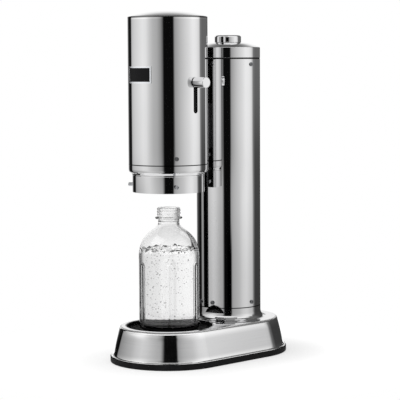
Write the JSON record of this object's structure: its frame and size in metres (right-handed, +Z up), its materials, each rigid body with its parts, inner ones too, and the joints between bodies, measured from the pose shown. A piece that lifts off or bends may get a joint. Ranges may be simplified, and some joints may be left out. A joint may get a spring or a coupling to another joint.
{
  "type": "sparkling water maker",
  "caption": "Counter-top sparkling water maker: polished steel hood that slides down a column over a glass bottle, with a side lever that opens the gas valve.",
  "frame": {"origin": "middle of the footprint, on the table", "axes": "+Z up, -Y the front, where the bottle stands, +X the lever's side"},
  "size_m": [0.156, 0.267, 0.4578],
  "materials": {
    "polished_steel": "polished stainless steel",
    "plated_steel": "satin plated steel",
    "cast_aluminium": "as cast",
    "black_plastic": "satin moulded",
    "white_plastic": "satin moulded",
    "black_rubber": "matte moulded",
    "clear_glass": "clear pressed glass",
    "valve_brass": "turned brass",
    "cylinder_paint": "satin paint"
  },
  "bodies": {
    "root": {"base_shell": "polished_steel", "rubber_foot": "black_rubber", "bottom_plate": "black_plastic", "bottom_plate_screws": "plated_steel", "drip_tray": "black_plastic", "tray_mat": "black_rubber", "column_tube": "polished_steel", "column_liner": "black_plastic", "column_upper_ring": "black_plastic", "column_lower_screws": "plated_steel", "column_upper_screws": "plated_steel", "guide_rods": "plated_steel", "cylinder_seat": "black_plastic", "gas_cylinder": "cylinder_paint", "cylinder_valve": "valve_brass", "gas_head": "black_plastic", "head_seal": "black_rubber", "gas_hose": "black_rubber"},
    "lid_ring": {"lid_seal_ring": "black_rubber"},
    "lid": {"lid_cap": "polished_steel", "lid_insert": "black_plastic", "lid_knob": "polished_steel", "lid_knob_screw": "plated_steel"},
    "hood": {"hood_shell": "polished_steel", "hood_cap": "polished_steel", "hood_bottom_ring": "polished_steel", "skirt_pins": "plated_steel", "hood_screws": "plated_steel", "plate_frame": "polished_steel", "plate_panel": "black_plastic", "carriage_arm": "cast_aluminium", "arm_screws": "plated_steel", "carriage_slider": "black_plastic", "slider_screws": "plated_steel", "glide_bushes": "white_plastic", "feed_elbow": "cast_aluminium", "feed_tube": "white_plastic", "chamber_plate": "cast_aluminium", "valve_block": "cast_aluminium", "valve_block_screws": "plated_steel", "relief_valve": "valve_brass", "nozzle_tube": "polished_steel", "nozzle_tip": "black_plastic", "bottle_seal": "black_rubber", "lever_guide": "black_plastic", "lever_guide_screws": "plated_steel", "lever_spring": "plated_steel"},
    "lever": {"lever_knob": "polished_steel", "lever_slider": "black_plastic", "slot_shutter": "black_rubber"},
    "plunger": {"valve_plunger": "valve_brass", "plunger_spring": "plated_steel"},
    "bottle": {"bottle_glass": "clear_glass"}
  },
  "joints": [
    {"name": "hood_slide", "type": "slide", "parent": "root", "child": "hood", "axis": [0, 0, -1], "range_m": [0, 0.18], "deforming": ["gas_hose"]},
    {"name": "lever_pull", "type": "slide", "parent": "hood", "child": "lever", "axis": [0, 0, -1], "range_m": [0, 0.036], "stiffness_N_per_m": 300, "springref_m": -0.02, "deforming": ["lever_spring"]},
    {"name": "plunger_push", "type": "slide", "parent": "hood", "child": "plunger", "axis": [-1, 0, 0], "range_m": [0, 0.004], "deforming": ["plunger_spring"]},
    {"name": "bottle_out", "type": "slide", "parent": "root", "child": "bottle", "axis": [0, -0.9604, 0.2785], "range_m": [0, 0.13]},
    {"name": "lid_turn", "type": "hinge", "parent": "root", "child": "lid_ring", "pos_m": [0, 0.0555, 0.396], "axis": [0, 0, 1], "range_deg": [0, 60]},
    {"name": "lid_lift", "type": "slide", "parent": "lid_ring", "child": "lid", "axis": [0, 0, 1], "range_m": [0, 0.06]}
  ],
  "couplings": [
    {"joint": "plunger_push", "follows": "lever_pull", "ratio": 0.11111}
  ]
}
